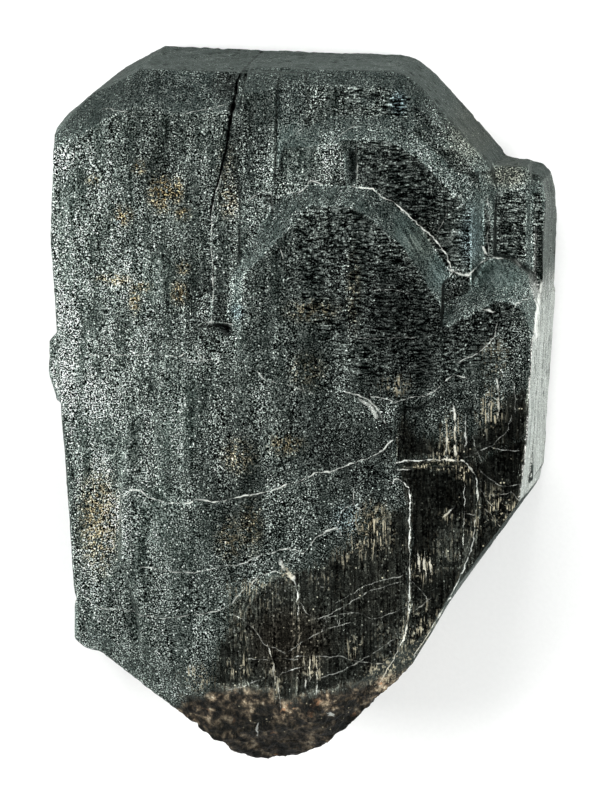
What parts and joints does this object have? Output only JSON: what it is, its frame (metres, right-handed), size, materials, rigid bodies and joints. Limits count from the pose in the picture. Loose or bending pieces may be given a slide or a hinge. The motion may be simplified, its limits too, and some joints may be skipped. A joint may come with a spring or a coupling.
{
  "type": "tantalite crystal specimen",
  "caption": "Blocky black metallic crystal of stacked parallel plates with bevelled ends, low terraces and a broken foot, lying on its back",
  "frame": {"origin": "the middle of the box, on the surface that the crystal lies on", "axes": "+Y runs along the crystal to its finished end, +X is to the right as the front is looked at, +Z points out of the front face, up"},
  "size_m": [0.1188, 0.1656, 0.0501],
  "materials": {
    "tantalite": "black crystal with a dull submetallic lustre, finely grained on the broad faces and glossy where freshly broken, with thin white veins, rust-coloured specks and a brown crust at the foot"
  },
  "bodies": {
    "root": {"tantalite_crystal": "tantalite"}
  },
  "joints": []
}
